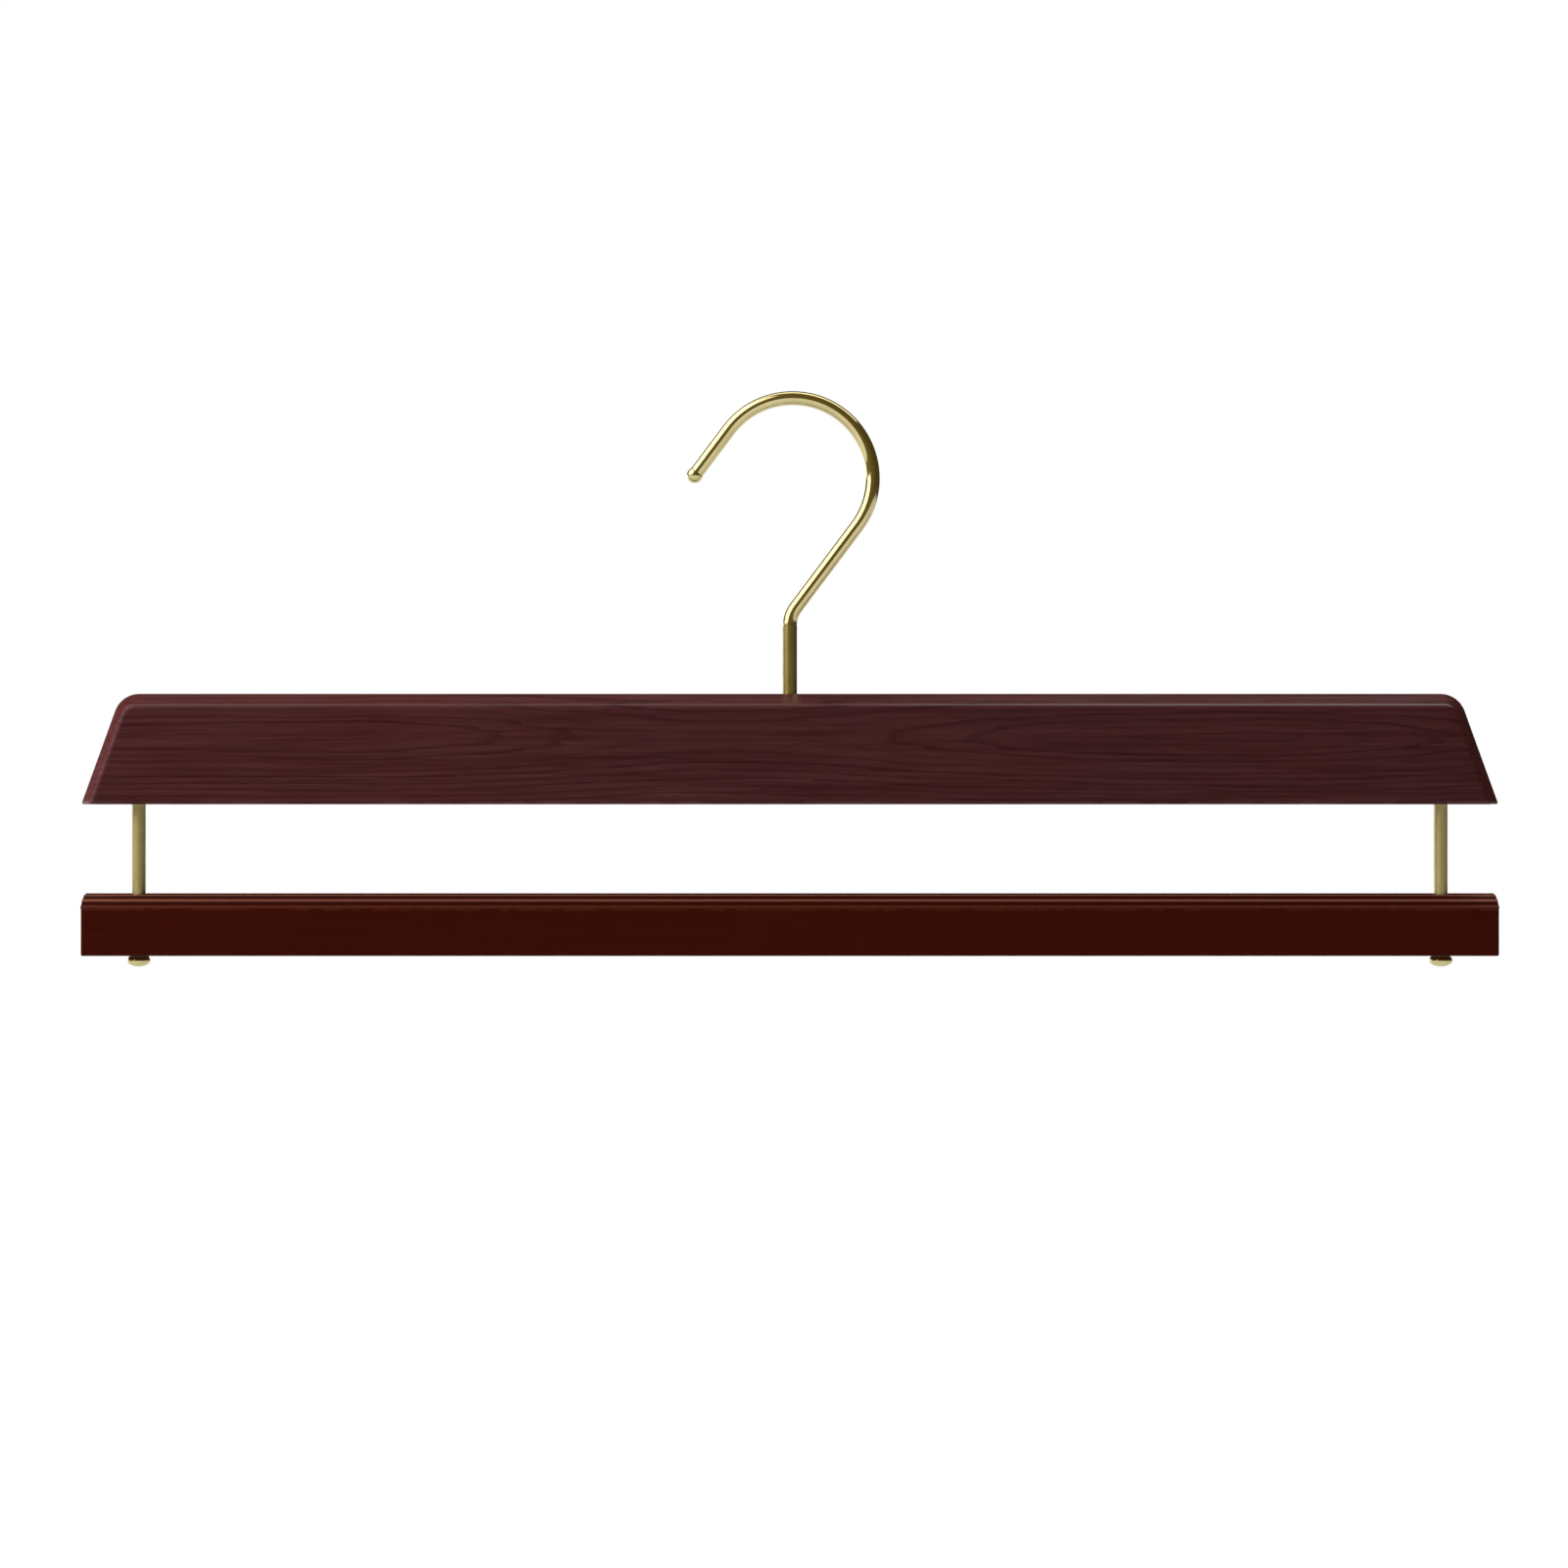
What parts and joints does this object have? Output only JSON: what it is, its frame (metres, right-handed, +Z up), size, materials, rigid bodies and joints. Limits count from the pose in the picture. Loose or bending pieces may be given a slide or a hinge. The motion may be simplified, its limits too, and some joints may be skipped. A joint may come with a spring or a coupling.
{
  "type": "trouser hanger",
  "caption": "Trouser hanger with a swivel wire hook, a wooden upper rail with slanted ends, and a ribbed lower rail that slides up metal rods and rests on their end knobs.",
  "frame": {"origin": "point inside the top of the hook that rests on the wardrobe rail, straight above the stem's axis", "axes": "+X along the rails, to the right seen from the front, with the hook's tip towards -X; +Z up; -Y to the front"},
  "size_m": [0.4014, 0.017, 0.1636],
  "materials": {
    "stained_wood": "stained purple-brown hardwood, satin lacquer",
    "dark_lacquer": "opaque dark red-brown lacquer",
    "ribbed_vinyl": "soft ribbed vinyl",
    "polished_brass": "polished",
    "satin_brass": "satin",
    "aged_brass": "satin, a little tarnished",
    "turned_brass": "as turned",
    "plated_steel": "zinc plated",
    "nylon": "black nylon"
  },
  "bodies": {
    "hook": {"hook_wire": "polished_brass", "hook_tip_ball": "polished_brass", "hook_stem": "aged_brass", "thrust_washer": "plated_steel", "lock_nut": "plated_steel"},
    "upper_frame": {"upper_rail": "stained_wood", "swivel_bush": "turned_brass", "well_plug": "stained_wood", "left_guide_rod": "satin_brass", "right_guide_rod": "satin_brass", "left_rod_insert": "turned_brass", "right_rod_insert": "turned_brass", "left_rod_knob": "polished_brass", "right_rod_knob": "polished_brass"},
    "trouser_rail": {"lower_rail": "dark_lacquer", "grip_cap": "ribbed_vinyl", "left_guide_bush": "nylon", "right_guide_bush": "nylon"}
  },
  "joints": [
    {"name": "hook_swivel", "type": "hinge", "parent": "hook", "child": "upper_frame", "pos_m": [0, 0, -0.0821], "axis": [0, 0, 1], "continuous": true},
    {"name": "rail_lift", "type": "slide", "parent": "upper_frame", "child": "trouser_rail", "axis": [0, 0, 1], "range_m": [0, 0.025]}
  ]
}
